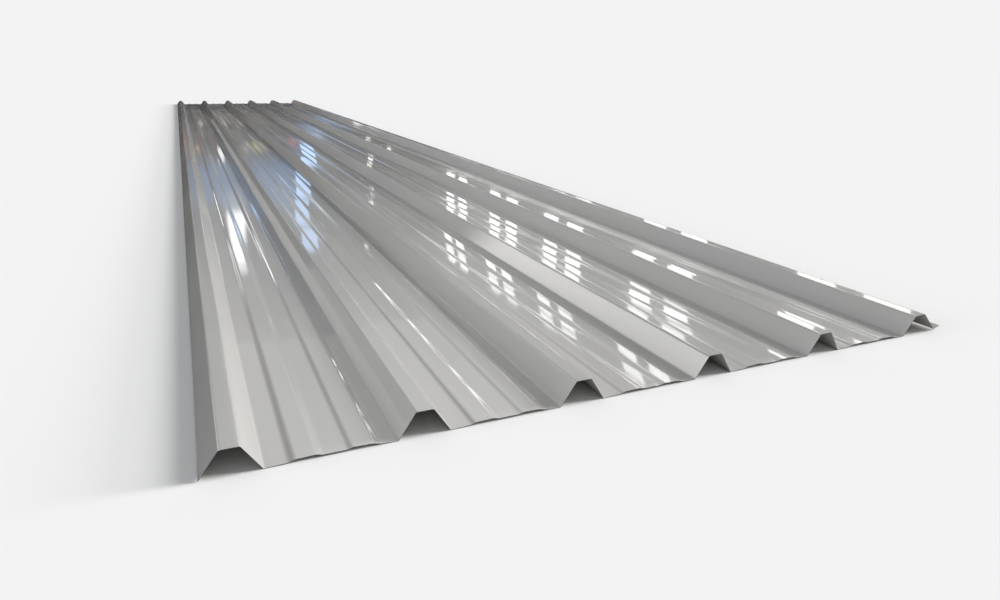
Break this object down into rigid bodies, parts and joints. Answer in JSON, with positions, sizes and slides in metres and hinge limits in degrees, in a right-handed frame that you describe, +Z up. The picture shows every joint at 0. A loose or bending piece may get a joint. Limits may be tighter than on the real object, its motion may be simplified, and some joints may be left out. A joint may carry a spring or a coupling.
{
  "type": "corrugated metal sheet",
  "caption": "Long prepainted steel roofing and wall sheet with trapezoidal ribs, stiffened flat pans, a plain overlap leg and an underlap leg with a turned-up lip.",
  "frame": {"origin": "on the underside of the middle pan, in the middle of the cover width and halfway along the sheet", "axes": "+Y along the ribs, +Z up from the pans to the crowns, +X across the sheet from the overlap leg to the underlap leg"},
  "size_m": [1.0782, 6, 0.0305],
  "materials": {
    "painted_steel": "gloss light grey coil coating on galvanized steel; bare steel shows at the cut edges"
  },
  "bodies": {
    "root": {"rib_sheet": "painted_steel"}
  },
  "joints": []
}
